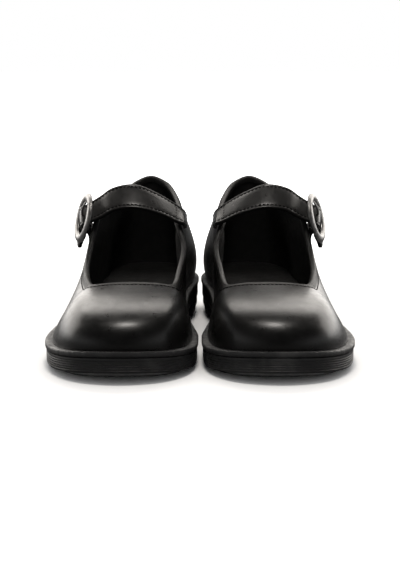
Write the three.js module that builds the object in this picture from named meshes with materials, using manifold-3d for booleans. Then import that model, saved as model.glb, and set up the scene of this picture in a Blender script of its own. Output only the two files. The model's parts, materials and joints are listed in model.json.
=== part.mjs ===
// A pair of leather bar shoes with round buckles, a welted sole and screwed tap plates.
// Millimetres, +Z up, toes towards -Y, the middle of the pair at X = 0, the floor at Z = 0.
import * as THREE from 'three';
import { mergeVertices } from 'three/addons/utils/BufferGeometryUtils.js';
import Module from 'manifold-3d';

const wasm = await Module();
wasm.setup();

// overall sizes of one shoe, and of the pattern that the outlines are drawn at
const shoeLength = 268;
const shoeWidth = 98.7;
const upperScale = 1;
const patternLength = 268;
const patternWidth = 98.7;
const pairGap = 1.6;
const clearance = 0.3;

// bottom of the shoe
const tapThickness = 2.1;
const tapEdge = 8;
const toeTapBack = 78;
const heelTapFront = 214;
const outsoleThickness = 9.6;
const outsoleInset = 0.8;
const weltThickness = 3.6;
const weltWidth = 11;
const topLiftThickness = 5.2;
const heelBlockThickness = 5;
const heelInset = 1.4;
const heelTaper = 1.2;
const heelBreast = 192;
const toeSpring = 5.7;
const toeSpringLength = 70;
const archStart = 105;
const insoleThickness = 2.2;
const boardGap = 0.9;
const sockThickness = 2;
const shankWidth = 14;
const shankThickness = 1.2;
const shankFront = 100;
const shankBack = 216;

// screws of the tap plates
const screwHeadRadius = 3;
const screwHeadDepth = 1.5;
const screwRadius = 1.4;
const screwLength = 9.2;
const screwRecess = 0.4;

// leather layers
const leatherThickness = 1.4;
const stiffenerThickness = 0.9;
const liningThickness = 0.9;
const bindingThickness = 0.7;
const bindingDrop = 4.4;
const bindingGap = 0.55;

// strap and buckle
const strapThickness = 1.4;
const strapLiningThickness = 0.8;
const buckleRadius = 17.5;
const buckleOpening = 11.3;
const strapEdgeRoom = 2.3;
const strapHalfWidth = buckleOpening - strapEdgeRoom;
const buckleDepth = 1.6;
const buckleTilt = 14 * Math.PI / 180;
const buckleYaw = 17 * Math.PI / 180;
const buckleTurn = 38 * Math.PI / 180;
const buckleCentre = [71.2, 140, 83];
const buckleStandOff = 9;
const buckleDatum = 19.9;
const barRadius = 0.9;
const barDrop = 3.2;
const chapeThickness = 1.1;
const chapeHalfWidth = 7;
const prongRadius = 0.75;
const prongEyeWidth = 2.2;

const lengthRatio = shoeLength / patternLength;
const widthRatio = shoeWidth / patternWidth;

// One row for each station round the shoe, from the toe along the outer side to the heel and
// back along the inner side: edge of the welt (x, y), how far the upper stands in from it,
// top line (x, y, height above the welt), lower handle (in, up), upper handle (out, down).
const stations = [
  [48.2, 0, 6, 43.2, 76, 33.5, -1, 24, 38, 2],
  [75.2, 8, 5.5, 57.5, 76, 33, -1, 23, 34, 2.5],
  [91.2, 28, 5, 67.5, 76.8, 31.8, 0.5, 19, 17, 4],
  [98.7, 58, 4.5, 71.3, 81, 31.5, 3.5, 13, 10, 9],
  [97.2, 90, 4.3, 76.2, 105, 37.1, 4.5, 13, 6, 12],
  [91.7, 122, 4.3, 75.6, 127, 47, 2.5, 15, 3.5, 15],
  [87, 142, 4.2, 70.6, 145, 66.2, 1, 20, 5, 22],
  [82, 165, 4, 67.9, 170, 62, 1, 20, 4, 21],
  [76.5, 195, 3.8, 64.4, 198, 57.4, 0, 20, 4.5, 19],
  [72.3, 232, 3.6, 58.4, 235, 60, -1.5, 20, 4.5, 20],
  [58.2, 261, 3.5, 50, 255, 67.8, -3, 20, 3, 22],
  [36.2, 268, 3.5, 37.2, 260, 71.8, -3, 20, 2.5, 24],
  [14.5, 261, 3.5, 25, 255, 67.8, -3, 20, 4, 22],
  [1.7, 236, 3.5, 16.8, 235, 60, -5, 20, 8, 22],
  [0.7, 205, 3.5, 11.7, 198, 50.6, -5, 18, 7, 16],
  [6.7, 165, 3.5, 10.5, 170, 56.4, -3, 18, 3, 18],
  [8, 142, 3.5, 14.6, 145, 62.6, -1, 20, 3, 19],
  [6, 118, 3.5, 8.8, 126, 49, 0, 16, 1, 15],
  [3, 95, 3.5, 11.6, 104, 38.1, 1, 13, 2, 12],
  [0.2, 68, 3.8, 15.5, 81, 31.5, 1.5, 13, 7, 9],
  [4.2, 30, 5, 19.2, 76.8, 31.8, 0.5, 19, 13, 4],
  [20.2, 8.5, 5.5, 29.2, 76, 33, -1, 23, 34, 2.5],
];
const stationCount = stations.length;
const heelStation = 11;
const vampEnd = 5;
const upperRows = [0, 0.1, 0.25, 0.42, 0.65, 0.88, 1];

// heights
const ballBed = tapThickness + outsoleThickness + weltThickness + 2 * clearance;
const heelRise = topLiftThickness + heelBlockThickness + 2 * clearance;

function bedHeight(y) {
  const toe = Math.max(0, 1 - y / (toeSpringLength * lengthRatio));
  const t = (y / lengthRatio - archStart) / (heelBreast - 2 - archStart);
  const arch = THREE.MathUtils.smoothstep(t, 0, 1);
  return ballBed + toeSpring * Math.pow(toe, 2.6) + heelRise * arch;
}

const outsoleTop = (y) => bedHeight(y) - weltThickness - clearance;
const outsoleBottom = (y) => outsoleTop(y) - outsoleThickness;
const tapTop = (y) => outsoleBottom(y) - clearance;

// solids from rings of points: consecutive rings are joined, and open ends are closed
// by strips that pair the first point with the last
function sweep(rings, closed) {
  const count = rings[0].length;
  const positions = rings.flat().flatMap((p) => [p.x, p.y, p.z]);
  const index = [];
  const last = closed ? rings.length : rings.length - 1;
  for (let i = 0; i < last; i++) {
    const a = i * count;
    const b = ((i + 1) % rings.length) * count;
    for (let j = 0; j < count; j++) {
      const k = (j + 1) % count;
      if (j < count / 2) {
        index.push(a + j, b + j, b + k, a + j, b + k, a + k);
      } else {
        index.push(a + j, b + j, a + k, b + j, b + k, a + k);
      }
    }
  }
  if (!closed) {
    for (let j = 0; j < count / 2 - 1; j++) {
      const far = count - 1 - j;
      const end = (rings.length - 1) * count;
      index.push(j, j + 1, far - 1, j, far - 1, far);
      index.push(end + j, end + far - 1, end + j + 1, end + j, end + far, end + far - 1);
    }
  }
  return facingOut(positions, index);
}

function facingOut(positions, index) {
  let volume = 0;
  const a = new THREE.Vector3();
  const b = new THREE.Vector3();
  const c = new THREE.Vector3();
  for (let i = 0; i < index.length; i += 3) {
    a.fromArray(positions, index[i] * 3);
    b.fromArray(positions, index[i + 1] * 3);
    c.fromArray(positions, index[i + 2] * 3);
    volume += a.dot(b.cross(c));
  }
  if (volume < 0) {
    index.reverse();
  }
  const geometry = new THREE.BufferGeometry();
  geometry.setAttribute('position', new THREE.Float32BufferAttribute(positions, 3));
  geometry.setIndex(index);
  return geometry;
}

function manifoldOf(geometry) {
  const bare = geometry.clone();
  bare.deleteAttribute('normal');
  bare.deleteAttribute('uv');
  const merged = mergeVertices(bare, 1e-4);
  const out = facingOut([...merged.attributes.position.array], [...merged.index.array]);
  return new wasm.Manifold(new wasm.Mesh({
    numProp: 3,
    vertProperties: new Float32Array(out.attributes.position.array),
    triVerts: new Uint32Array(out.index.array),
  }));
}

function geometryOf(manifold) {
  const mesh = manifold.getMesh();
  return facingOut([...mesh.vertProperties], [...mesh.triVerts]);
}

function cut(geometry, cutters) {
  let body = manifoldOf(geometry);
  for (const cutter of cutters) {
    body = body.subtract(manifoldOf(cutter));
  }
  return geometryOf(body);
}

function join(geometries) {
  let body = manifoldOf(geometries[0]);
  for (const other of geometries.slice(1)) {
    body = body.add(manifoldOf(other));
  }
  return geometryOf(body);
}

// closed curves round the shoe
function closedCurve(points) {
  return new THREE.CatmullRomCurve3(points, true, 'centripetal');
}

function onCurve(curve, u) {
  return curve.getPoint((((u % stationCount) + stationCount) % stationCount) / stationCount);
}

const weltCurve = closedCurve(stations.map(
  (s) => new THREE.Vector3(s[0] * widthRatio, s[1] * lengthRatio, 0),
));

function inward(u) {
  const along = onCurve(weltCurve, u + 0.02).sub(onCurve(weltCurve, u - 0.02)).normalize();
  return new THREE.Vector3(-along.y, along.x, 0);
}

function weltPoint(u, inset) {
  return onCurve(weltCurve, u).addScaledVector(inward(u), inset);
}

const feet = stations.map((s, i) => {
  const foot = weltPoint(i, s[2]);
  foot.z = bedHeight(foot.y) + clearance;
  return foot;
});
const lips = stations.map((s) => {
  const y = s[4] * lengthRatio;
  return new THREE.Vector3(s[3] * widthRatio, y, bedHeight(y) + s[5] * upperScale);
});
const footCurve = closedCurve(feet);
const lowCurve = closedCurve(feet.map((foot, i) => foot.clone()
  .addScaledVector(inward(i), stations[i][6])
  .add(new THREE.Vector3(0, 0, stations[i][7] * upperScale))));
const highCurve = closedCurve(lips.map((lip, i) => lip.clone()
  .addScaledVector(inward(i), -stations[i][8])
  .add(new THREE.Vector3(0, 0, -stations[i][9] * upperScale))));
const lipCurve = closedCurve(lips);

function upperSurface(u, v) {
  const w = 1 - v;
  return onCurve(footCurve, u).multiplyScalar(w * w * w)
    .addScaledVector(onCurve(lowCurve, u), 3 * w * w * v)
    .addScaledVector(onCurve(highCurve, u), 3 * w * v * v)
    .addScaledVector(onCurve(lipCurve, u), v * v * v);
}

function upperNormal(u, v) {
  const step = 0.01;
  const low = Math.max(0, v - step);
  const high = Math.min(1, v + step);
  const along = upperSurface(u + 0.03, v).sub(upperSurface(u - 0.03, v));
  const up = upperSurface(u, high).sub(upperSurface(u, low));
  const normal = along.cross(up).normalize();
  normal.z *= Math.min(1, v * 5);
  return normal.normalize();
}

function upperPoint(u, v, depth) {
  const point = upperSurface(u, v).addScaledVector(upperNormal(u, v), -depth);
  point.z = Math.max(point.z, bedHeight(point.y) + clearance);
  return point;
}

function lattice(from, to) {
  const list = [from];
  for (let u = Math.floor(from * 2 + 1) / 2; u < to - 0.05; u += 0.5) {
    if (u > from + 0.05) {
      list.push(u);
    }
  }
  list.push(to);
  return list;
}

// one layer of the upper, from one station to another and from one row to another
function layer(fromU, toU, fromV, toV, outer, inner) {
  const whole = toU - fromU === stationCount;
  const columns = lattice(fromU, toU);
  if (whole) {
    columns.pop();
  }
  const rows = upperRows.filter((v) => v >= fromV && v <= toV);
  return sweep(columns.map((u) => [
    ...rows.map((v) => upperPoint(u, v, outer(v))),
    ...rows.slice().reverse().map((v) => upperPoint(u, v, inner(v))),
  ]), whole);
}

const constant = (value) => () => value;
const stiffenerDepth = leatherThickness + clearance;
const liningInner = stiffenerDepth + stiffenerThickness + clearance;
const liningOuter = stiffenerDepth;
const liningDepth = (v) => (v > 0.8 ? liningOuter : liningInner);
const wallDepth = liningInner + liningThickness;

// how much of a station a clearance is, for the seams between pieces of the upper
function stationStep(u) {
  const span = onCurve(footCurve, u + 0.1).distanceTo(onCurve(footCurve, u - 0.1));
  return clearance * 0.2 / span;
}

// the folded band over the top line: a channel that follows the last row of the upper
function bindingRing(u) {
  const lastRow = upperRows[upperRows.length - 2];
  const outside = -bindingGap;
  const inside = liningOuter + liningThickness + bindingGap;
  const thick = bindingThickness;
  const top = clearance + thick;
  const section = [
    [outside - thick, -bindingDrop],
    [outside - thick, clearance],
    [outside, top],
    [inside + thick, top],
    [inside + thick, 1 - bindingDrop],
    [inside, 1 - bindingDrop],
    [inside, clearance],
    [outside, clearance],
    [outside, -bindingDrop],
  ];
  return section.map(([depth, rise]) => {
    const lip = upperPoint(u, 1, depth);
    const up = lip.clone().sub(upperPoint(u, lastRow, depth)).normalize();
    return lip.addScaledVector(up, rise);
  });
}

// flat layers of the bottom, which follow the height of the bed
function slab(rim, low, high) {
  return sweep([
    rim.map((p) => new THREE.Vector3(p.x, p.y, low(p.y))),
    rim.map((p) => new THREE.Vector3(p.x, p.y, high(p.y))),
  ], false);
}

function steps(from, to, count) {
  return Array.from({ length: count + 1 }, (_, i) => from + (to - from) * i / count);
}

const roundU = Array.from({ length: 3 * stationCount }, (_, i) => (i + 0.5) / 3);

// the station where the welt outline crosses a given distance from the toe
function stationAt(y, from, to) {
  let low = from;
  let high = to;
  const rising = onCurve(weltCurve, to).y > onCurve(weltCurve, from).y;
  for (let i = 0; i < 30; i++) {
    const middle = (low + high) / 2;
    const beyond = onCurve(weltCurve, middle).y > y;
    if (beyond === rising) {
      high = middle;
    } else {
      low = middle;
    }
  }
  return (low + high) / 2;
}

function heelRim(front, inset, count) {
  const from = stationAt(front * lengthRatio, 3, heelStation - 1);
  const to = stationAt(front * lengthRatio, heelStation + 1, stationCount - 3);
  return steps(from, to, count).map((u) => weltPoint(u, inset));
}

function toeRim(back, inset, count) {
  const from = stationAt(back * lengthRatio, stationCount - 6, stationCount) - stationCount;
  const to = stationAt(back * lengthRatio, 0, 6);
  return steps(from, to, count).map((u) => weltPoint(u, inset));
}

// outline just inside the lining, at the narrowest of the first few millimetres
function innerRim(u, gap) {
  const foot = onCurve(footCurve, u);
  const direction = inward(u);
  const reach = [0, 0.08, 0.16].map(
    (v) => upperPoint(u, v, wallDepth + gap).sub(foot).dot(direction),
  );
  return foot.addScaledVector(direction, Math.max(...reach));
}

// tap plate screws
const toeTapUnderside = (y) => tapTop(y) - tapThickness;
const heelTapUnderside = () => 0;
const toeScrews = [[26, 60], [71, 60], [48, 22]];
const heelScrews = [[19, 227], [54, 227], [36.5, 250]];

function screwSolid(x, y, underside, grow) {
  const base = grow > 0 ? -4 : 0;
  const profile = [
    [0, base],
    [screwHeadRadius + grow, base],
    [screwHeadRadius + grow, 0.4 + grow],
    [screwRadius + grow, screwHeadDepth + grow],
    [screwRadius + grow, screwLength - 1.2],
    [0, screwLength + grow],
  ].map(([r, h]) => new THREE.Vector2(r, h));
  const geometry = new THREE.LatheGeometry(profile, 8);
  geometry.rotateX(Math.PI / 2);
  const px = x * widthRatio;
  const py = y * lengthRatio;
  geometry.translate(px, py, underside(py) + screwRecess);
  return geometryOf(manifoldOf(geometry));
}

// buckle frame: local axes are outwards, forwards to back, and up the tilted ring
const buckleMiddle = new THREE.Vector3(
  buckleCentre[0] * widthRatio + buckleStandOff,
  buckleCentre[1] * lengthRatio,
  bedHeight(buckleCentre[1] * lengthRatio) + (buckleCentre[2] - buckleDatum) * upperScale,
);
const ringOut = new THREE.Vector3(
  Math.cos(buckleTilt) * Math.cos(buckleYaw),
  -Math.cos(buckleTilt) * Math.sin(buckleYaw),
  Math.sin(buckleTilt),
);
const ringUp = new THREE.Vector3(
  -Math.sin(buckleTilt) * Math.cos(buckleYaw),
  Math.sin(buckleTilt) * Math.sin(buckleYaw),
  Math.cos(buckleTilt),
).applyAxisAngle(ringOut, buckleTurn);
const ringAlong = new THREE.Vector3().crossVectors(ringUp, ringOut);

function atBuckle(up, y, out) {
  return buckleMiddle.clone()
    .addScaledVector(ringUp, up)
    .addScaledVector(ringAlong, y)
    .addScaledVector(ringOut, out);
}

function rod(points, radius, sides) {
  const curve = new THREE.CatmullRomCurve3(points, false, 'centripetal');
  const count = 2 * (points.length - 1);
  return sweep(steps(0, 1, count).map((t) => {
    const centre = curve.getPoint(t);
    const along = curve.getTangent(t);
    const side = new THREE.Vector3().crossVectors(along, ringOut).normalize();
    const other = new THREE.Vector3().crossVectors(along, side).normalize();
    return Array.from({ length: sides }, (_, i) => {
      const angle = 2 * Math.PI * (i + 0.5) / sides;
      return centre.clone()
        .addScaledVector(side, radius * Math.cos(angle))
        .addScaledVector(other, radius * Math.sin(angle));
    });
  }), false);
}

function buckleFrame() {
  const middle = (buckleRadius + buckleOpening) / 2;
  const half = (buckleRadius - buckleOpening) / 2;
  const section = [
    [-1, -0.5], [-0.7, -1], [0.7, -1], [1, -0.5], [0.6, 0.8], [-0.6, 0.8],
  ];
  const rings = steps(0, 2 * Math.PI, 22).slice(0, -1).map((angle) => section.map(([r, h]) => {
    const radius = middle + half * r;
    return atBuckle(radius * Math.sin(angle), radius * Math.cos(angle), buckleDepth * h);
  }));
  const reach = (buckleOpening + buckleRadius) / 2;
  const bar = rod([
    atBuckle(0, -reach, -0.4),
    atBuckle(0, -buckleOpening, -1.8),
    atBuckle(0, -buckleOpening + 2.2, -barDrop),
    atBuckle(0, 0, -barDrop),
    atBuckle(0, buckleOpening - 2.2, -barDrop),
    atBuckle(0, buckleOpening, -1.8),
    atBuckle(0, reach, -0.4),
  ], barRadius, 8);
  return join([sweep(rings, true), bar]);
}

// a flat shape in the plane across the bar, with a given width along the bar
function acrossBar(outline, hole, halfWidth) {
  const shape = new THREE.Shape(outline.map(([up, out]) => new THREE.Vector2(up, out)));
  if (hole) {
    shape.holes.push(new THREE.Path(hole.map(([up, out]) => new THREE.Vector2(up, out))));
  }
  const geometry = new THREE.ExtrudeGeometry(shape, { depth: 2 * halfWidth, bevelEnabled: false });
  const basis = new THREE.Matrix4().makeBasis(ringUp, ringOut, ringAlong);
  geometry.translate(0, 0, -halfWidth);
  geometry.applyMatrix4(basis);
  geometry.translate(buckleMiddle.x, buckleMiddle.y, buckleMiddle.z);
  return geometry;
}

function arcAt(radius, from, to, count) {
  return steps(from, to, count).map((angle) => [
    radius * Math.cos(angle),
    -barDrop + radius * Math.sin(angle),
  ]);
}

const foldRadius = barRadius + clearance + chapeThickness;
const chapeFoot = 9;
// the chape's legs run under the strap, which lies 2 deep below the ring there
const chapeDepth = 2 + strapThickness + strapLiningThickness + 2 * clearance;
// corners of the foot on the outer quarter, front and back, from its upper row to its lower row
const chapeFootRows = [
  [[5.95, 0.74], [6.45, 0.83]],
  [[6.1, 0.6], [6.58, 0.69]],
];

function chapeSolid() {
  const outline = [
    ...arcAt(foldRadius, -0.75 * Math.PI, 0.75 * Math.PI, 10),
    [-5, 0.2 - chapeDepth],
    [-chapeFoot, -0.1 - chapeDepth],
    [-chapeFoot, -0.1 - chapeDepth - 2 * chapeThickness],
    [-5, 0.2 - chapeDepth - 2 * chapeThickness],
  ];
  const hole = arcAt(barRadius + clearance, 0, 2 * Math.PI, 10).slice(0, -1);
  const slot = acrossBar([[-3, -7], [4, -7], [4, 2], [-3, 2]], null, prongEyeWidth / 2 + 0.5);
  const tuck = 0.06;
  const under = -0.05 - chapeDepth;
  const start = [under - tuck, under - 2 * chapeThickness + tuck].map((out) => [-1, 1].map(
    (side) => atBuckle(1 - chapeFoot, side * (chapeHalfWidth - tuck), out),
  ));
  const rows = chapeFootRows.map(([front, back]) => [clearance + chapeThickness, clearance].map(
    (depth) => [front, back].map(([u, v]) => upperPoint(u, v, -depth)),
  ));
  const foot = sweep([start, ...rows].map(([outer, inner]) => [
    outer[0], outer[1], inner[1], inner[0],
  ]), false);
  return cut(join([acrossBar(outline, hole, chapeHalfWidth), foot]), [slot]);
}

function prongSolid() {
  const outer = barRadius + clearance + 0.8;
  const eye = acrossBar(
    arcAt(outer, 0, 2 * Math.PI, 10).slice(0, -1),
    arcAt(barRadius + clearance, 0, 2 * Math.PI, 10).slice(0, -1),
    prongEyeWidth / 2,
  );
  const pin = rod([
    atBuckle(0.6, 0, -barDrop + barRadius + clearance + 0.75),
    atBuckle(2.6, 0, 1.2),
    atBuckle(8, 0, 3),
    atBuckle(15.6, 0, buckleDepth + clearance + prongRadius + 0.1),
  ], prongRadius, 6);
  return join([eye, pin]);
}

// strap: a ribbon between its front edge and its back edge, given on its outer face
// the last number of a point is how many strap stacks it stands out from the ear beside it
const strapStack = bindingThickness + bindingGap + clearance + strapLiningThickness
  + clearance + strapThickness;
const strapFront = [
  [12.2, 131.6, 77.2, -1],
  [13.4, 131.4, 80.2, -1],
  [18.4, 131, 82, -1],
  [26.6, 130.5, 87.6, 0],
  [44.4, 130, 91.8, 0],
  [58.5, 130.5, 89.9, 0],
  [67.5, 131.2, 85, 0],
];
const strapBack = [
  [12.3, 150.2, 79, -1],
  [13.1, 149.8, 86, -1],
  [18.6, 148.8, 91, -1],
  [30.6, 147.3, 100.6, 0],
  [45.2, 147, 105.9, 0],
  [60.5, 147, 103.2, 0],
  [69, 146.8, 97.5, 0],
];
// half the length of the opening left beside the strap's edges, and where the strap bends in it
const strapReach = Math.sqrt(buckleOpening ** 2 - strapHalfWidth ** 2);
const strapThrough = [
  [strapReach * 0.59, -0.2],
  [1.6, 2.05],
  [-1.6, 2.05],
  [-strapReach * 0.59, 0],
  [-strapReach - 1.05, -2],
  [-15, -2.1],
  [-20.5, -2.4],
];
const strapTail = [-22.6, -2.6];

const strapDatum = 20.8;
function overFoot([x, y, z, stacks]) {
  const py = y * lengthRatio;
  return new THREE.Vector3(
    x * widthRatio + stacks * strapStack,
    py,
    bedHeight(145 * lengthRatio) + (z - strapDatum) * upperScale,
  );
}

const strapEdges = [
  [...strapFront.map(overFoot), ...strapThrough.map(([up, out]) => atBuckle(up, -strapHalfWidth, out)),
    atBuckle(strapTail[0], -strapHalfWidth * 0.55, strapTail[1])],
  [...strapBack.map(overFoot), ...strapThrough.map(([up, out]) => atBuckle(up, strapHalfWidth, out)),
    atBuckle(strapTail[0], strapHalfWidth * 0.55, strapTail[1])],
].map((points) => new THREE.CatmullRomCurve3(points, false, 'centripetal'));

function strapPoint(t, across, depth) {
  const at = (s, w) => strapEdges[0].getPoint(s).lerp(strapEdges[1].getPoint(s), w);
  const along = at(Math.min(1, t + 0.004), across).sub(at(Math.max(0, t - 0.004), across));
  const normal = at(t, 1).sub(at(t, 0)).cross(along).normalize();
  return at(t, across).addScaledVector(normal, depth);
}

function strapLayer(from, to) {
  const inset = 0.3 / (2 * strapHalfWidth);
  const low = from > 0 ? inset : 0;
  const rings = steps(0, 1, 28).map((t) => [
    strapPoint(t, low, from),
    strapPoint(t, 1 - low, from),
    strapPoint(t, 1 - low, to),
    strapPoint(t, low, to),
  ]);
  const slot = acrossBar([[-3.2, -9], [5.2, -9], [5.2, 6], [-3.2, 6]], null, prongEyeWidth / 2 + 0.6);
  return cut(sweep(rings, false), [slot]);
}

// shank and its recess
function shankSolid(grow, lift) {
  const ys = steps(shankFront - grow, shankBack + grow, 10).map((y) => y * lengthRatio);
  const half = shankWidth / 2 + grow;
  return sweep(ys.map((y) => {
    const t = THREE.MathUtils.clamp((y / lengthRatio - shankFront) / (shankBack - shankFront), 0, 1);
    const x = (46 - 8 * t) * widthRatio;
    const top = bedHeight(y) - clearance + lift;
    const bottom = bedHeight(y) - clearance - shankThickness - grow;
    return [
      new THREE.Vector3(x - half, y, bottom),
      new THREE.Vector3(x + half, y, bottom),
      new THREE.Vector3(x + half, y, top),
      new THREE.Vector3(x - half, y, top),
    ];
  }), false);
}

const leather = { color: 0x17171a, roughness: 0.42, metalness: 0 };
const rubber = { color: 0x0d0d0e, roughness: 0.75, metalness: 0 };
const lining = { color: 0x0b0b0c, roughness: 0.85, metalness: 0 };
const steel = { color: 0xb9bbbd, roughness: 0.3, metalness: 1 };
const board = { color: 0x6d5641, roughness: 0.9, metalness: 0 };

function shoeParts() {
  const seam = 0.6;
  const vampGap = stationStep(vampEnd) * seam;
  const backGap = stationStep(heelStation) * seam;
  const medialEnd = stationCount - vampEnd;
  const face = constant(0);
  const back = constant(leatherThickness);
  const stiffFace = constant(stiffenerDepth);
  const stiffBack = constant(stiffenerDepth + stiffenerThickness);
  const heelFloor = tapThickness + clearance;
  const liftTop = heelFloor + topLiftThickness;
  const blockTop = liftTop + clearance + heelBlockThickness;
  const bed = bedHeight;
  const insoleTop = (y) => bed(y) + clearance + insoleThickness;
  const heelLayer = (inset, low, high) => slab(heelRim(heelBreast, inset, 15), constant(low), constant(high));
  const toeHoles = toeScrews.map(([x, y]) => screwSolid(x, y, toeTapUnderside, clearance / 2));
  const heelHoles = heelScrews.map(([x, y]) => screwSolid(x, y, heelTapUnderside, clearance / 2));
  const parts = [
    ['outsole', cut(slab(roundU.map((u) => weltPoint(u, outsoleInset)), outsoleBottom, outsoleTop), toeHoles), rubber],
    ['heel_block', cut(heelLayer(heelInset, liftTop + clearance, blockTop), heelHoles), rubber],
    ['heel_top_lift', cut(heelLayer(heelInset + heelTaper, heelFloor, liftTop), heelHoles), rubber],
    ['welt', sweep(roundU.map((u) => {
      const outer = weltPoint(u, 0);
      const inner = weltPoint(u, weltWidth);
      return [
        new THREE.Vector3(outer.x, outer.y, bed(outer.y) - weltThickness),
        new THREE.Vector3(outer.x, outer.y, bed(outer.y)),
        new THREE.Vector3(inner.x, inner.y, bed(inner.y)),
        new THREE.Vector3(inner.x, inner.y, bed(inner.y) - weltThickness),
      ];
    }), true), rubber],
    ['bottom_filler', cut(slab(
      roundU.map((u) => weltPoint(u, weltWidth + clearance)),
      (y) => bed(y) - weltThickness,
      bed,
    ), [shankSolid(clearance, 3)]), board],
    ['shank', shankSolid(0, 0), steel],
    ['insole_board', slab(roundU.map((u) => innerRim(u, boardGap)), (y) => bed(y) + clearance, insoleTop), board],
    ['sock_liner', slab(
      roundU.map((u) => innerRim(u, boardGap + clearance)),
      (y) => insoleTop(y) + clearance,
      (y) => insoleTop(y) + clearance + sockThickness,
    ), lining],
    ['vamp', layer(-vampEnd + vampGap, vampEnd - vampGap, 0, 1, face, back), leather],
    ['quarter_lateral', layer(vampEnd + vampGap, heelStation - backGap, 0, 1, face, back), leather],
    ['quarter_medial', layer(heelStation + backGap, medialEnd - vampGap, 0, 1, face, back), leather],
    ['back_stay', layer(heelStation - 0.3, heelStation + 0.3, 0, 0.88, constant(-clearance - 1),
      constant(-clearance)), leather],
    ['lining', layer(0, stationCount, 0, 1, liningDepth, (v) => liningDepth(v) + liningThickness), lining],
    ['toe_puff', layer(-2.5, 2.5, 0, 0.42, stiffFace, stiffBack), board],
    ['heel_counter', layer(heelStation - 2.5, heelStation + 2.5, 0, 0.65, stiffFace, stiffBack), board],
    ['topline_binding', sweep(lattice(0, stationCount).slice(0, -1).map(bindingRing), true), leather],
    ['strap', strapLayer(0, strapThickness), leather],
    ['strap_lining', strapLayer(strapThickness + clearance, strapThickness + clearance + strapLiningThickness), lining],
    ['chape', chapeSolid(), leather],
    ['buckle_frame', buckleFrame(), steel],
    ['buckle_prong', prongSolid(), steel],
    ['toe_tap', cut(slab(toeRim(toeTapBack, tapEdge, 17), toeTapUnderside, tapTop), toeHoles), steel],
    ['heel_tap', cut(slab(heelRim(heelTapFront, tapEdge, 15), constant(0), constant(tapThickness)), heelHoles), steel],
  ];
  toeScrews.forEach(([x, y], i) => {
    parts.push([`toe_tap_screw_${i + 1}`, screwSolid(x, y, toeTapUnderside, 0), steel]);
  });
  heelScrews.forEach(([x, y], i) => {
    parts.push([`heel_tap_screw_${i + 1}`, screwSolid(x, y, heelTapUnderside, 0), steel]);
  });
  return parts;
}

function shoe(side, direction) {
  const group = new THREE.Group();
  for (const [name, geometry, finish] of shoeParts()) {
    const mesh = new THREE.Mesh(geometry, new THREE.MeshStandardMaterial(finish));
    mesh.name = `${side}_${name}`;
    group.add(mesh);
  }
  group.position.set(direction * pairGap / 2, -shoeLength / 2, 0);
  group.scale.x = direction;
  return group;
}

const pair = new THREE.Group();
pair.name = 'strapped_shoes';
pair.add(shoe('left', 1), shoe('right', -1));

export default pair;
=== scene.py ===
# A pair of black leather bar shoes with round side buckles, on a plain pale floor.
import json
import math

import bpy
import numpy as np
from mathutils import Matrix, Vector, noise

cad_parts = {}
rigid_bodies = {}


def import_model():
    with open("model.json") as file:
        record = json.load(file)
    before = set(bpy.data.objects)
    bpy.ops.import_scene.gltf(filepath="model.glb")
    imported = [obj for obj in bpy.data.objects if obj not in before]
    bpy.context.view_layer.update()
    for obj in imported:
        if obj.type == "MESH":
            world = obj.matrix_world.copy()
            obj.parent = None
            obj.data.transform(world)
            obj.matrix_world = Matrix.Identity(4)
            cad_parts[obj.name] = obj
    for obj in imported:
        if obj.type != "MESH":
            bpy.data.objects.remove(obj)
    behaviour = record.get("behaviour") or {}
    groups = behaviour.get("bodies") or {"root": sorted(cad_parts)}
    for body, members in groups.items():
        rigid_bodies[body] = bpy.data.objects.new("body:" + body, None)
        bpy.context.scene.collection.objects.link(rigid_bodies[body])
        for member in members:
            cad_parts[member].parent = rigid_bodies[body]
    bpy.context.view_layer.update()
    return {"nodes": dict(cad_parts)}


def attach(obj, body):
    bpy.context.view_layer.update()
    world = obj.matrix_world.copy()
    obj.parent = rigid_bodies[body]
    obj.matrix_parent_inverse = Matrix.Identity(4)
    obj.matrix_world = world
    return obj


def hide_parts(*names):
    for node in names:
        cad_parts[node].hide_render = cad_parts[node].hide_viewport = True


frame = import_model()
cadNodes = frame["nodes"]

# sizes in millimetres, in the shoe's own frame: x from its inner side, y from the toe, z from the floor
shoe = {
    "length": 268.0,
    "pairGap": 1.6,
    "clearance": 0.3,
    "tapThickness": 2.1,
    "outsoleThickness": 9.6,
    "weltThickness": 3.6,
    "weltWidth": 11.0,
    "topLiftThickness": 5.2,
    "heelBlockThickness": 5.0,
    "heelBreast": 192.0,
    "toeSpring": 5.7,
    "toeSpringLength": 70.0,
    "archStart": 105.0,
    "insoleThickness": 2.2,
    "boardGap": 0.9,
    "leather": 1.4,
    "stiffener": 0.9,
    "lining": 0.9,
}

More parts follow.
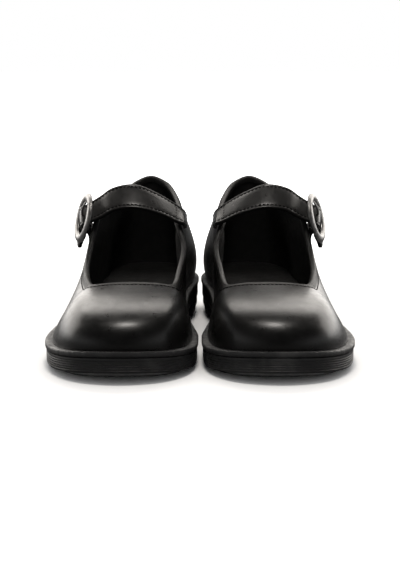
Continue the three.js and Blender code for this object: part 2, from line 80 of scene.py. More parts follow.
# welt x, y, inset of the upper, top line x, y, height, lower handle in, up, upper handle out, down
stations = np.array([
    [48.2, 0, 6, 43.2, 76, 33.5, -1, 24, 38, 2],
    [75.2, 8, 5.5, 57.5, 76, 33, -1, 23, 34, 2.5],
    [91.2, 28, 5, 67.5, 76.8, 31.8, 0.5, 19, 17, 4],
    [98.7, 58, 4.5, 71.3, 81, 31.5, 3.5, 13, 10, 9],
    [97.2, 90, 4.3, 76.2, 105, 37.1, 4.5, 13, 6, 12],
    [91.7, 122, 4.3, 75.6, 127, 47, 2.5, 15, 3.5, 15],
    [87, 142, 4.2, 70.6, 145, 66.2, 1, 20, 5, 22],
    [82, 165, 4, 67.9, 170, 62, 1, 20, 4, 21],
    [76.5, 195, 3.8, 64.4, 198, 57.4, 0, 20, 4.5, 19],
    [72.3, 232, 3.6, 58.4, 235, 60, -1.5, 20, 4.5, 20],
    [58.2, 261, 3.5, 50, 255, 67.8, -3, 20, 3, 22],
    [36.2, 268, 3.5, 37.2, 260, 71.8, -3, 20, 2.5, 24],
    [14.5, 261, 3.5, 25, 255, 67.8, -3, 20, 4, 22],
    [1.7, 236, 3.5, 16.8, 235, 60, -5, 20, 8, 22],
    [0.7, 205, 3.5, 11.7, 198, 50.6, -5, 18, 7, 16],
    [6.7, 165, 3.5, 10.5, 170, 56.4, -3, 18, 3, 18],
    [8, 142, 3.5, 14.6, 145, 62.6, -1, 20, 3, 19],
    [6, 118, 3.5, 8.8, 126, 49, 0, 16, 1, 15],
    [3, 95, 3.5, 11.6, 104, 38.1, 1, 13, 2, 12],
    [0.2, 68, 3.8, 15.5, 81, 31.5, 1.5, 13, 7, 9],
    [4.2, 30, 5, 19.2, 76.8, 31.8, 0.5, 19, 13, 4],
    [20.2, 8.5, 5.5, 29.2, 76, 33, -1, 23, 34, 2.5],
])
stationCount = len(stations)
heelStation = 11
vampEnd = 5
sides = {"left": 1.0, "right": -1.0}
gap = shoe["clearance"]


# shapes shared with the frame
def smoothStep(t):
    t = np.clip(t, 0, 1)
    return t * t * (3 - 2 * t)


ballBed = shoe["tapThickness"] + shoe["outsoleThickness"] + shoe["weltThickness"] + 2 * gap
heelRise = shoe["topLiftThickness"] + shoe["heelBlockThickness"] + 2 * gap


def bedHeight(y):
    toe = np.maximum(0, 1 - y / shoe["toeSpringLength"])
    arch = smoothStep((y - shoe["archStart"]) / (shoe["heelBreast"] - 2 - shoe["archStart"]))
    return ballBed + shoe["toeSpring"] * toe ** 2.6 + heelRise * arch


def splinePoints(points, where, closed):
    count = len(points)
    where = np.asarray(where, dtype=float)
    if closed:
        where = where % count
        first = np.floor(where).astype(int) % count
        index = [(first - 1) % count, first, (first + 1) % count, (first + 2) % count]
        p = [points[i] for i in index]
    else:
        where = np.clip(where, 0, count - 1)
        first = np.minimum(np.floor(where).astype(int), count - 2)
        padded = np.vstack([2 * points[0] - points[1], points, 2 * points[-1] - points[-2]])
        p = [padded[first + k] for k in range(4)]
    w = (where - first)[:, None]
    gaps = [np.maximum(np.linalg.norm(p[k + 1] - p[k], axis=1, keepdims=True) ** 0.5, 1e-4) for k in range(3)]
    t1 = ((p[1] - p[0]) / gaps[0] - (p[2] - p[0]) / (gaps[0] + gaps[1]) + (p[2] - p[1]) / gaps[1]) * gaps[1]
    t2 = ((p[2] - p[1]) / gaps[1] - (p[3] - p[1]) / (gaps[1] + gaps[2]) + (p[3] - p[2]) / gaps[2]) * gaps[1]
    c2 = -3 * p[1] + 3 * p[2] - 2 * t1 - t2
    c3 = 2 * p[1] - 2 * p[2] + t1 + t2
    return p[1] + t1 * w + c2 * w ** 2 + c3 * w ** 3


weltLine = np.column_stack([stations[:, 0], stations[:, 1], np.zeros(stationCount)])


def inward(u):
    along = splinePoints(weltLine, u + 0.02, True) - splinePoints(weltLine, u - 0.02, True)
    along /= np.linalg.norm(along, axis=1, keepdims=True)
    return np.column_stack([-along[:, 1], along[:, 0], np.zeros(len(along))])


def weltPoint(u, inset):
    u = np.asarray(u, dtype=float)
    return splinePoints(weltLine, u, True) + inward(u) * np.reshape(inset, (-1, 1))


stationU = np.arange(stationCount, dtype=float)
feet = weltPoint(stationU, stations[:, 2])
feet[:, 2] = bedHeight(feet[:, 1]) + gap
lips = stations[:, 3:6].copy()
lips[:, 2] += bedHeight(lips[:, 1])
lowHandles = feet + inward(stationU) * stations[:, 6:7]
lowHandles[:, 2] += stations[:, 7]
highHandles = lips - inward(stationU) * stations[:, 8:9]
highHandles[:, 2] -= stations[:, 9]


def upperSurface(u, v):
    u, v = np.asarray(u, dtype=float), np.asarray(v, dtype=float)[:, None]
    w = 1 - v
    return (splinePoints(feet, u, True) * w ** 3 + splinePoints(lowHandles, u, True) * 3 * w * w * v
            + splinePoints(highHandles, u, True) * 3 * w * v * v + splinePoints(lips, u, True) * v ** 3)


def upperNormal(u, v):
    low, high = np.maximum(0, v - 0.01), np.minimum(1, v + 0.01)
    along = upperSurface(u + 0.03, v) - upperSurface(u - 0.03, v)
    up = upperSurface(u, high) - upperSurface(u, low)
    normal = np.cross(along, up)
    normal /= np.linalg.norm(normal, axis=1, keepdims=True)
    normal[:, 2] *= np.minimum(1, v * 5)
    return normal / np.linalg.norm(normal, axis=1, keepdims=True)


def upperPoint(u, v, depth):
    u, v = np.broadcast_arrays(np.asarray(u, dtype=float), np.asarray(v, dtype=float))
    point = upperSurface(u, v) - upperNormal(u, v) * np.reshape(depth, (-1, 1))
    point[:, 2] = np.maximum(point[:, 2], bedHeight(point[:, 1]) + gap)
    return point


# mesh building
def sweepMesh(name, rings, closed, sharpAngle=35):
    rings = np.asarray(rings, dtype=float)
    ringCount, count = rings.shape[:2]
    steps = ringCount if closed else ringCount - 1
    i = np.arange(steps)[:, None]
    j = np.arange(count)[None, :]
    nextRing, nextPoint = (i + 1) % ringCount, (j + 1) % count
    quads = np.stack([i * count + j, nextRing * count + j, nextRing * count + nextPoint,
                      i * count + nextPoint], axis=-1).reshape(-1, 4)
    along = np.concatenate([[0], np.cumsum(np.linalg.norm(
        np.diff(rings[np.r_[0:ringCount, 0]], axis=0), axis=2).mean(axis=1))])
    around = np.concatenate([[0], np.cumsum(np.linalg.norm(
        np.diff(rings[:, np.r_[0:count, 0]], axis=1), axis=2).mean(axis=0))])
    uMap = np.broadcast_to(along[i], (steps, count))
    uNext = np.broadcast_to(along[i + 1], (steps, count))
    vMap = np.broadcast_to(around[j], (steps, count))
    vNext = np.broadcast_to(around[j + 1], (steps, count))
    uv = np.stack([np.stack([uMap, uNext, uNext, uMap], -1), np.stack([vMap, vMap, vNext, vNext], -1)], -1)
    uv = uv.reshape(-1, 4, 2)
    if not closed:
        k = np.arange(count // 2 - 1)
        far = count - 1 - k
        for base, flip in ((0, False), ((ringCount - 1) * count, True)):
            cap = np.stack([base + k, base + k + 1, base + far - 1, base + far], -1)
            flat = rings.reshape(-1, 3)[cap][..., :2]
            if flip:
                cap, flat = cap[:, ::-1], flat[:, ::-1]
            quads = np.vstack([quads, cap])
            uv = np.vstack([uv, flat])
    return meshFrom(name, rings.reshape(-1, 3), quads, uv * 0.001, sharpAngle)


def meshFrom(name, points, quads, uv, sharpAngle):
    side = sides[name.split("_")[0]]
    place = np.column_stack([side * (points[:, 0] + shoe["pairGap"] / 2),
                             points[:, 1] - shoe["length"] / 2, points[:, 2]]) * 0.001
    a, b, c, d = (place[quads[:, k]] for k in range(4))
    volume = np.einsum("ij,ij->i", a, np.cross(b, c)).sum() + np.einsum("ij,ij->i", a, np.cross(c, d)).sum()
    if volume < 0:
        quads, uv = quads[:, ::-1], uv[:, ::-1]
    mesh = bpy.data.meshes.new(name)
    mesh.vertices.add(len(place))
    mesh.vertices.foreach_set("co", place.ravel())
    mesh.loops.add(quads.size)
    mesh.loops.foreach_set("vertex_index", np.ascontiguousarray(quads).ravel().astype(np.int32))
    mesh.polygons.add(len(quads))
    mesh.polygons.foreach_set("loop_start", np.arange(0, quads.size, 4, dtype=np.int32))
    mesh.update(calc_edges=True)
    layer = mesh.uv_layers.new(name="UVMap")
    layer.data.foreach_set("uv", np.ascontiguousarray(uv).ravel())
    mesh.validate()
    mesh.polygons.foreach_set("use_smooth", np.ones(len(mesh.polygons), dtype=bool))
    mesh.set_sharp_from_angle(angle=math.radians(sharpAngle))
    obj = bpy.data.objects.new(name, mesh)
    bpy.context.scene.collection.objects.link(obj)
    return obj


def finishPiece(obj, part, slotName, material, *nodeNames):
    side = obj.name.split("_")[0]
    obj.data.materials.clear()
    obj.data.materials.append(material)
    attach(obj, side + "_" + part)
    if nodeNames:
        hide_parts(*[side + "_" + n for n in nodeNames])
    return obj


shellLip = 0.35    # rounding of a wall's top edge


def shell(name, fromU, toU, fromV, toV, outer, inner, columns, rows, whole=False):
    us = np.linspace(fromU, toU, columns + (1 if whole else 0))
    if whole:
        us = us[:-1]
    vs = np.linspace(fromV, toV, rows)
    middle = (outer(toV) + inner(toV)) / 2
    rings = []
    for n, u in enumerate(us):
        ripple = lastedRipple(np.full(rows, u), vs) * np.clip(vs * 8, 0, 1) * np.clip((1 - vs) * 8, 0, 1)
        pinch = 0.0    # cut edges are thinner over their last two columns
        if not whole:
            pinch = max(0.0, 1 - min(n, len(us) - 1 - n) / 2.0) * 0.45
        thick = np.array([inner(v) - outer(v) for v in vs])
        front = np.array([outer(v) for v in vs]) + thick * pinch
        rear = np.array([inner(v) for v in vs]) - thick * pinch
        tops = [upperPoint([u], [toV], middle - (middle - front[-1]) * 0.5)[0],
                upperPoint([u], [toV], middle + (rear[-1] - middle) * 0.5)[0]]
        up = upperSurface([u], [toV])[0] - upperSurface([u], [toV - 0.02])[0]
        up /= np.linalg.norm(up)
        rings.append(np.vstack([upperPoint(np.full(rows, u), vs, front - ripple),
                                tops[0] + up * shellLip, tops[1] + up * shellLip,
                                upperPoint(np.full(rows, u), vs[::-1], rear[::-1])]))
    return sweepMesh(name, rings, whole)


# shader node groups
def newGroup(name, inputs, outputs):
    group = bpy.data.node_groups.new(name, "ShaderNodeTree")
    for label, kind, value in inputs:
        socket = group.interface.new_socket(label, in_out="INPUT", socket_type=kind)
        if value is not None:
            socket.default_value = value
    for label, kind in outputs:
        group.interface.new_socket(label, in_out="OUTPUT", socket_type=kind)
    return group, group.nodes.new("NodeGroupInput"), group.nodes.new("NodeGroupOutput")


def addNode(tree, kind, **values):
    node = tree.nodes.new(kind)
    for key, value in values.items():
        if isinstance(value, bpy.types.NodeSocket):
            tree.links.new(value, node.inputs[key])
        elif key in node.inputs:
            node.inputs[key].default_value = value
        else:
            setattr(node, key, value)
    return node


def mathNode(tree, operation, a, b=0.0):
    node = tree.nodes.new("ShaderNodeMath")
    node.operation = operation
    for socket, value in zip(node.inputs, (a, b)):
        if isinstance(value, bpy.types.NodeSocket):
            tree.links.new(value, socket)
        else:
            socket.default_value = value
    return node.outputs[0]


def ramp(tree, source, low, high, lowValue=0.0, highValue=1.0):
    node = addNode(tree, "ShaderNodeMapRange", interpolation_type="SMOOTHSTEP", **{
        "Value": source, "From Min": low, "From Max": high, "To Min": lowValue, "To Max": highValue})
    return node.outputs["Result"]


def noiseNode(tree, vector, scale, detail=3.0, roughness=0.5):
    node = addNode(tree, "ShaderNodeTexNoise", Vector=vector, Scale=scale, Detail=detail, Roughness=roughness)
    return node.outputs["Fac"]


def buildGrainGroup():
    group, inputs, outputs = newGroup(
        "leatherGrain",
        [("Pore Scale", "NodeSocketFloat", 2600.0), ("Patch Scale", "NodeSocketFloat", 28.0),
         ("Pore Depth", "NodeSocketFloat", 0.35)],
        [("Height", "NodeSocketFloat"), ("Patch", "NodeSocketFloat"), ("Crease", "NodeSocketFloat")])
    place = group.nodes.new("ShaderNodeTexCoord").outputs["Object"]
    pores = group.nodes.new("ShaderNodeTexVoronoi")
    pores.feature = "DISTANCE_TO_EDGE"
    group.links.new(place, pores.inputs["Vector"])
    group.links.new(inputs.outputs["Pore Scale"], pores.inputs["Scale"])
    cell = ramp(group, pores.outputs["Distance"], 0.0, 0.16)
    fine = noiseNode(group, place, 5200.0, 2.0)
    rough = mathNode(group, "MULTIPLY", cell, inputs.outputs["Pore Depth"])
    height = mathNode(group, "ADD", rough, mathNode(group, "MULTIPLY", fine, 0.25))
    patch = noiseNode(group, place, inputs.outputs["Patch Scale"], 4.0, 0.55)
    crease = noiseNode(group, place, 160.0, 5.0, 0.65)
    group.links.new(height, outputs.inputs["Height"])
    group.links.new(patch, outputs.inputs["Patch"])
    group.links.new(crease, outputs.inputs["Crease"])
    return group


def buildWearGroup():
    group, inputs, outputs = newGroup(
        "scuffs", [("Scale", "NodeSocketFloat", 90.0), ("Amount", "NodeSocketFloat", 0.5)],
        [("Scuff", "NodeSocketFloat"), ("Dust", "NodeSocketFloat")])
    place = group.nodes.new("ShaderNodeTexCoord").outputs["Object"]
    stretch = addNode(group, "ShaderNodeMapping", Vector=place)
    stretch.inputs["Scale"].default_value = (1.0, 6.0, 14.0)
    streaks = noiseNode(group, stretch.outputs[0], inputs.outputs["Scale"], 6.0, 0.7)
    low = mathNode(group, "SUBTRACT", 0.78, mathNode(group, "MULTIPLY", inputs.outputs["Amount"], 0.25))
    scuff = ramp(group, streaks, low, mathNode(group, "ADD", low, 0.12))
    cloud = noiseNode(group, place, 38.0, 5.0, 0.6)
    dust = ramp(group, cloud, 0.45, 0.75)
    group.links.new(scuff, outputs.inputs["Scuff"])
    group.links.new(dust, outputs.inputs["Dust"])
    return group


grainGroup = buildGrainGroup()
wearGroup = buildWearGroup()


def useGroup(tree, group, **values):
    node = tree.nodes.new("ShaderNodeGroup")
    node.node_tree = group
    for key, value in values.items():
        node.inputs[key.replace("_", " ")].default_value = value
    return node


def newMaterial(name, **values):
    material = bpy.data.materials.new(name)
    material.use_nodes = True
    tree = material.node_tree
    shader = tree.nodes["Principled BSDF"]
    for key, value in values.items():
        shader.inputs[key.replace("_", " ")].default_value = value
    return material, tree, shader


def mixColour(tree, factor, first, second):
    node = tree.nodes.new("ShaderNodeMix")
    node.data_type = "RGBA"
    tree.links.new(factor, node.inputs["Factor"])
    for key, value in ((6, first), (7, second)):
        if isinstance(value, bpy.types.NodeSocket):
            tree.links.new(value, node.inputs[key])
        else:
            node.inputs[key].default_value = value
    return node.outputs[2]


def bumpTo(tree, shader, height, strength, distance):
    node = addNode(tree, "ShaderNodeBump", Height=height, Strength=strength, Distance=distance)
    tree.links.new(node.outputs["Normal"], shader.inputs["Normal"])


def buildCalf():
    look = {"dark": (0.0022, 0.0021, 0.0021, 1), "light": (0.0065, 0.006, 0.0056, 1)}
    material, tree, shader = newMaterial(
        "blackCalf", Coat_Weight=0.35, Coat_Roughness=0.25, Coat_IOR=1.45, Specular_IOR_Level=0.3)
    grain = useGroup(tree, grainGroup, Pore_Scale=1900.0, Patch_Scale=24.0, Pore_Depth=0.5)
    tree.links.new(mixColour(tree, grain.outputs["Patch"], look["dark"], look["light"]),
                   shader.inputs["Base Color"])
    tree.links.new(ramp(tree, grain.outputs["Crease"], 0.25, 0.75, 0.26, 0.4), shader.inputs["Roughness"])
    pores = mathNode(tree, "MULTIPLY", grain.outputs["Height"], 0.5)
    height = mathNode(tree, "ADD", pores, mathNode(tree, "MULTIPLY", grain.outputs["Crease"], 1.4))
    bumpTo(tree, shader, height, 0.4, 0.0001)
    return material


def buildEdgeLeather():
    material, tree, shader = newMaterial(
        "rolledEdgeLeather", Coat_Weight=0.1, Coat_Roughness=0.35, Specular_IOR_Level=0.22)
    grain = useGroup(tree, grainGroup, Pore_Scale=2100.0, Patch_Scale=60.0, Pore_Depth=0.6)
    look = {"dark": (0.0025, 0.0024, 0.0023, 1), "light": (0.0075, 0.007, 0.0066, 1)}
    tree.links.new(mixColour(tree, grain.outputs["Patch"], look["dark"], look["light"]),
                   shader.inputs["Base Color"])
    tree.links.new(ramp(tree, grain.outputs["Crease"], 0.3, 0.7, 0.36, 0.5), shader.inputs["Roughness"])
    bumpTo(tree, shader, mathNode(tree, "ADD", grain.outputs["Height"], grain.outputs["Crease"]), 0.5, 0.0002)
    return material


def buildLiningLeather(name, dark, light):
    material, tree, shader = newMaterial(name, Specular_IOR_Level=0.16)
    grain = useGroup(tree, grainGroup, Pore_Scale=1500.0, Patch_Scale=45.0, Pore_Depth=0.8)
    tree.links.new(mixColour(tree, grain.outputs["Crease"], dark, light), shader.inputs["Base Color"])
    tree.links.new(ramp(tree, grain.outputs["Patch"], 0.3, 0.7, 0.62, 0.82), shader.inputs["Roughness"])
    bumpTo(tree, shader, mathNode(tree, "ADD", grain.outputs["Height"], grain.outputs["Crease"]), 0.7, 0.0004)
    return material


def buildSoleRubber(name, striation):
    material, tree, shader = newMaterial(name)
    wear = useGroup(tree, wearGroup, Scale=70.0, Amount=0.55)
    place = tree.nodes.new("ShaderNodeTexCoord").outputs["Object"]
    lines = addNode(tree, "ShaderNodeMapping", Vector=place)
    lines.inputs["Scale"].default_value = (6.0, 6.0, 900.0) if striation else (260.0, 260.0, 260.0)
    streak = noiseNode(tree, lines.outputs[0], 1.0, 4.0, 0.6)
    look = {"clean": (0.017, 0.017, 0.0175, 1), "dusty": (0.05, 0.049, 0.048, 1),
            "scuffed": (0.16, 0.155, 0.15, 1)}
    base = mixColour(tree, wear.outputs["Dust"], look["clean"], look["dusty"])
    scuffed = mathNode(tree, "MULTIPLY", wear.outputs["Scuff"], 0.5)
    tree.links.new(mixColour(tree, scuffed, base, look["scuffed"]), shader.inputs["Base Color"])
    tree.links.new(ramp(tree, streak, 0.3, 0.7, 0.4, 0.66), shader.inputs["Roughness"])
    fine = noiseNode(tree, place, 2400.0, 3.0)
    height = mathNode(tree, "ADD", streak, mathNode(tree, "MULTIPLY", fine, 0.3))
    bumpTo(tree, shader, height, 0.6, 0.0003)
    return material


def buildSatinMetal(name, tint, low, high):
    material, tree, shader = newMaterial(name, Metallic=1.0)
    wear = useGroup(tree, wearGroup, Scale=220.0, Amount=0.6)
    place = tree.nodes.new("ShaderNodeTexCoord").outputs["Object"]
    blotch = noiseNode(tree, place, 320.0, 4.0)
    darker = tuple(c * 0.72 for c in tint[:3]) + (1,)
    tree.links.new(mixColour(tree, ramp(tree, blotch, 0.35, 0.7), darker, tint), shader.inputs["Base Color"])
    rough = ramp(tree, blotch, 0.3, 0.7, low, high)
    tree.links.new(mathNode(tree, "ADD", rough, mathNode(tree, "MULTIPLY", wear.outputs["Scuff"], 0.15)),
                   shader.inputs["Roughness"])
    bumpTo(tree, shader, noiseNode(tree, place, 1800.0, 3.0), 0.15, 0.0001)
    return material


def buildThread():
    material, tree, shader = newMaterial("stitchThread", Specular_IOR_Level=0.05)
    place = tree.nodes.new("ShaderNodeTexCoord").outputs["Object"]
    twist = addNode(tree, "ShaderNodeTexWave", Vector=place, Scale=900.0, Distortion=2.0)
    look = {"dark": (0.0012, 0.0012, 0.0012, 1), "light": (0.006, 0.0055, 0.005, 1)}
    tree.links.new(mixColour(tree, twist.outputs["Fac"], look["dark"], look["light"]),
                   shader.inputs["Base Color"])
    tree.links.new(ramp(tree, twist.outputs["Fac"], 0, 1, 0.55, 0.75), shader.inputs["Roughness"])
    bumpTo(tree, shader, twist.outputs["Fac"], 0.5, 0.0001)
    return material


def buildBoard(name, dark, light, scale):
    material, tree, shader = newMaterial(name, Roughness=0.9)
    place = tree.nodes.new("ShaderNodeTexCoord").outputs["Object"]
    fleck = noiseNode(tree, place, scale, 5.0, 0.7)
    tree.links.new(mixColour(tree, ramp(tree, fleck, 0.35, 0.65), dark, light), shader.inputs["Base Color"])
    bumpTo(tree, shader, fleck, 0.5, 0.0003)
    return material


calf = buildCalf()
edgeLeather = buildEdgeLeather()
liningLeather = buildLiningLeather("blackLining", (0.0018, 0.0018, 0.0018, 1), (0.0075, 0.007, 0.0068, 1))
sockLeather = buildLiningLeather("blackSock", (0.0018, 0.0018, 0.0018, 1), (0.006, 0.0057, 0.0055, 1))
soleRubber = buildSoleRubber("soleRubber", True)
weltRubber = buildSoleRubber("weltRubber", False)
satinMetal = buildSatinMetal("satinBuckleMetal", (0.34, 0.335, 0.33, 1), 0.34, 0.5)
tapMetal = buildSatinMetal("castTapMetal", (0.34, 0.34, 0.345, 1), 0.4, 0.58)
screwMetal = buildSatinMetal("screwSteel", (0.55, 0.55, 0.56, 1), 0.2, 0.34)
shankMetal = buildSatinMetal("shankSteel", (0.35, 0.36, 0.38, 1), 0.3, 0.5)
thread = buildThread()
stiffenerSheet = buildBoard("stiffenerSheet", (0.2, 0.17, 0.13, 1), (0.36, 0.32, 0.26, 1), 600.0)
fibreBoard = buildBoard("fibreBoard", (0.2, 0.13, 0.08, 1), (0.36, 0.25, 0.17, 1), 900.0)
corkFill = buildBoard("corkFill", (0.16, 0.09, 0.05, 1), (0.4, 0.27, 0.16, 1), 420.0)
print("materials ready")


# upper
stiffDepth = shoe["leather"] + gap
liningDepth = stiffDepth + shoe["stiffener"] + gap


lastWaves = {"wide": (0.045, 0.16), "small": (0.11, 0.05)}    # noise scale per millimetre, and height


def lastedRipple(u, v):    # shallow unevenness of leather pulled over a last
    return np.array([sum(noise.noise(Vector(p) * scale) * height for scale, height in lastWaves.values())
                     for p in upperSurface(u, v)])


def liningFront(v):
    return liningDepth + (stiffDepth - liningDepth) * float(smoothStep((v - 0.7) / 0.18))


def buildUpper(side):
    seam = 0.012    # gap between two parts of the upper, in stations
    parts = [("vamp", "_vamp_leather", -vampEnd, vampEnd, 140, 44),
             ("quarter_lateral", "_outer_quarter_leather", vampEnd, heelStation, 90, 34),
             ("quarter_medial", "_inner_quarter_leather", heelStation, stationCount - vampEnd, 90, 34)]
    for node, name, start, end, columns, rows in parts:
        piece = shell(side + name, start + seam, end - seam, 0, 1, lambda v: 0.0, lambda v: shoe["leather"],
                      columns, rows)
        finishPiece(piece, "shoe", "upper_leather", calf, node)
    stayHalf = 0.3
    stay = shell(side + "_back_stay_leather", heelStation - stayHalf, heelStation + stayHalf, 0.01, 0.9,
                 lambda v: -1.0, lambda v: -0.05, 14, 40)
    finishPiece(stay, "shoe", "upper_leather", calf, "back_stay")
    lining = shell(side + "_lining_leather", 0, stationCount, 0, 1, liningFront,
                   lambda v: liningFront(v) + shoe["lining"], 264, 26, whole=True)
    finishPiece(lining, "shoe", "lining_leather", liningLeather, "lining")


# outward and down from the lip, once round the rolled edge
bindingProfile = [(-0.25, 4.3), (0.28, 4.0), (0.5, 2.6), (0.62, 1.2), (0.55, 0.0), (0.2, -0.75),
                  (-0.5, -1.15), (-1.4, -1.25), (-2.3, -1.1), (-2.95, -0.6), (-3.25, 0.3), (-3.3, 1.8),
                  (-3.2, 3.2), (-2.5, 3.3), (-2.4, 0.5), (-0.25, 0.5)]


def bindingSection(u):
    lip = upperSurface(u, np.ones_like(u))
    up = lip - upperSurface(u, np.full(len(u), 0.97))
    up /= np.linalg.norm(up, axis=1, keepdims=True)
    span = 3 * np.linalg.norm(lipSpan(u), axis=1)
    rings = []
    for outward, down in bindingProfile:
        v = np.clip(1 - max(down, 0) / span, 0, 1)
        point = upperPoint(u, v, np.full(len(u), -outward))
        rings.append(point + up * max(-down, 0))
    return np.stack(rings, axis=1)


def lipSpan(u):
    return splinePoints(lips, u, True) - splinePoints(highHandles, u, True)


def buildBinding(side):
    u = np.linspace(0, stationCount, 397)[:-1]
    band = sweepMesh(side + "_topline_band", bindingSection(u), True, 50)
    finishPiece(band, "shoe", "upper_leather", edgeLeather, "topline_binding")


# bottom
def rimLoop(inset, count=352):
    u = (np.arange(count) + 0.5) / count * stationCount
    return weltPoint(u, inset)


def slabMesh(name, rimAt, profile, level):
    rings = []
    for inset, height in profile:
        rim = rimAt(inset)
        rim[:, 2] = level(rim[:, 1]) + height
        rings.append(rim)
    return sweepMesh(name, rings, False)


def outsoleBottom(y):
    return bedHeight(y) - shoe["weltThickness"] - gap - shoe["outsoleThickness"]


def flatAt(height):
    return lambda y: np.full(len(y), height)


def stationAt(y, low, high):
    rising = splinePoints(weltLine, [high], True)[0][1] > splinePoints(weltLine, [low], True)[0][1]
    for _ in range(40):
        middle = (low + high) / 2
        if (splinePoints(weltLine, [middle], True)[0][1] > y) == rising:
            high = middle
        else:
            low = middle
    return (low + high) / 2


def partRim(start, end, count):
    def rim(inset):
        u = np.linspace(start, end, count)
        return weltPoint(u, inset)
    return rim


def buildOutsole(side):
    sole = {"edge": 0.8, "ribs": 5, "ribDepth": 0.3, "firstRib": 1.9, "lastRib": 0.7}
    edge, thick = sole["edge"], shoe["outsoleThickness"]
    profile = [(edge + 1.6, 0.0), (edge + 0.5, 0.25), (edge + 0.05, 0.9), (edge, 1.5)]
    pitch = (thick - sole["lastRib"] - sole["firstRib"]) / sole["ribs"]
    for k in range(sole["ribs"]):
        at = sole["firstRib"] + k * pitch
        profile += [(edge + sole["ribDepth"], at), (edge + 0.02, at + pitch * 0.28), (edge, at + pitch * 0.8)]
    profile += [(edge + 0.1, thick - 0.3), (edge + 0.7, thick)]
    outsole = slabMesh(side + "_outsole_rubber", rimLoop, profile, outsoleBottom)
    finishPiece(outsole, "shoe", "sole_rubber", soleRubber, "outsole")


def buildWelt(side):
    welt = {"columns": 640, "nickDepth": 0.35, "nickChance": 0.16, "seed": 7}
    thick, width = shoe["weltThickness"], shoe["weltWidth"]
    section = [(0.9, -thick), (0.25, -thick + 0.35), (0.0, -thick + 1.0), (0.0, -0.9), (0.25, -0.3),
               (1.0, 0.0), (3.0, 0.05), (6.5, 0.0), (width, 0.0), (width, -thick)]
    u = np.arange(welt["columns"]) / welt["columns"] * stationCount
    rings = []
    for inset, height in section:
        rim = weltPoint(u, inset)
        rim[:, 2] = bedHeight(rim[:, 1]) + height
        rings.append(rim)
    rings = np.stack(rings, axis=1)
    rng = np.random.default_rng(welt["seed"])
    cuts = rng.random(welt["columns"]) < welt["nickChance"]
    for k in np.flatnonzero(cuts):    # small cracks across the edge
        depth = welt["nickDepth"] * (0.4 + 0.6 * rng.random())
        rings[k, 3:7, 2] -= depth
        rings[k, 2:5] += inward(u[k:k + 1]) * depth * 0.8
    strip = sweepMesh(side + "_welt_strip", rings, True, 50)
    finishPiece(strip, "shoe", "welt_rubber", weltRubber, "welt")


def buildHeel(side):
    heel = {"inset": 1.4, "liftInset": 2.6, "grooves": (0.8, 2.6), "grooveDepth": 0.2, "columns": 150}
    inset, deep = heel["inset"], heel["inset"] + heel["grooveDepth"]
    breast = shoe["heelBreast"]
    rim = partRim(stationAt(breast, 3, 10), stationAt(breast, 12, 19), heel["columns"])
    lift, block = shoe["topLiftThickness"], shoe["heelBlockThickness"]
    liftBase = shoe["tapThickness"] + gap
    first, second = heel["grooves"]
    ribs = [(inset + 0.02, 0.0), (inset, first - 0.3), (deep, first), (inset, first + 0.4),
            (inset, second - 0.3), (deep, second), (inset, second + 0.4), (inset, block - 0.3), (deep, block)]
    heelBlock = slabMesh(side + "_heel_block_rubber", rim, ribs, flatAt(liftBase + lift + gap))
    finishPiece(heelBlock, "shoe", "sole_rubber", soleRubber, "heel_block")
    low = heel["liftInset"]
    liftProfile = [(low + 0.8, 0.0), (low + 0.2, 0.2), (low, 0.7), (low, lift - 0.3), (low + 0.2, lift)]
    topLift = slabMesh(side + "_heel_top_lift_rubber", rim, liftProfile, flatAt(liftBase))
    finishPiece(topLift, "shoe", "sole_rubber", soleRubber, "heel_top_lift")


def buildTaps(side):
    tap = {"edge": 8.0, "toeBack": 78.0, "heelFront": 214.0}
    edge, back, front = tap["edge"], tap["toeBack"], tap["heelFront"]
    profile = [(edge + 0.9, 0.0), (edge + 0.35, 0.12), (edge + 0.05, 0.5), (edge, 1.0),
               (edge, shoe["tapThickness"])]
    toeRim = partRim(stationAt(back, 16, 22) - stationCount, stationAt(back, 0, 6), 160)
    toeTap = slabMesh(side + "_toe_tap_plate", toeRim, profile,
                      lambda y: outsoleBottom(y) - gap - shoe["tapThickness"])
    finishPiece(toeTap, "shoe", "tap_metal", tapMetal, "toe_tap")
    heelRim = partRim(stationAt(front, 3, 10), stationAt(front, 12, 19), 120)
    heelTap = slabMesh(side + "_heel_tap_plate", heelRim, profile, flatAt(0.0))
    finishPiece(heelTap, "shoe", "tap_metal", tapMetal, "heel_tap")


def buildSock(side):
    sock = {"columns": 264,
            "profile": [(0.3, 0.0), (-0.5, 0.4), (-0.7, 1.0), (-0.4, 1.6), (0.4, 1.95), (3.0, 2.1)]}
    count = sock["columns"]
    wall = liningDepth + shoe["lining"] + shoe["boardGap"] + gap
    u = (np.arange(count) + 0.5) / count * stationCount
    foot, direction = splinePoints(feet, u, True), inward(u)

    def sockRim(inset):
        reach = np.max([((upperPoint(u, np.full(count, v), wall) - foot) * direction).sum(axis=1)
                        for v in (0, 0.08, 0.16)], axis=0)
        return foot + direction * (reach + inset)[:, None]

    base = gap + shoe["insoleThickness"] + gap
    liner = slabMesh(side + "_sock_liner_leather", sockRim, sock["profile"], lambda y: bedHeight(y) + base)
    finishPiece(liner, "shoe", "sock_leather", sockLeather, "sock_liner")


for sideName in sides:
    buildUpper(sideName)
    buildBinding(sideName)
    buildOutsole(sideName)
    buildWelt(sideName)
    buildHeel(sideName)
    buildTaps(sideName)
    buildSock(sideName)
print("upper and bottom built")


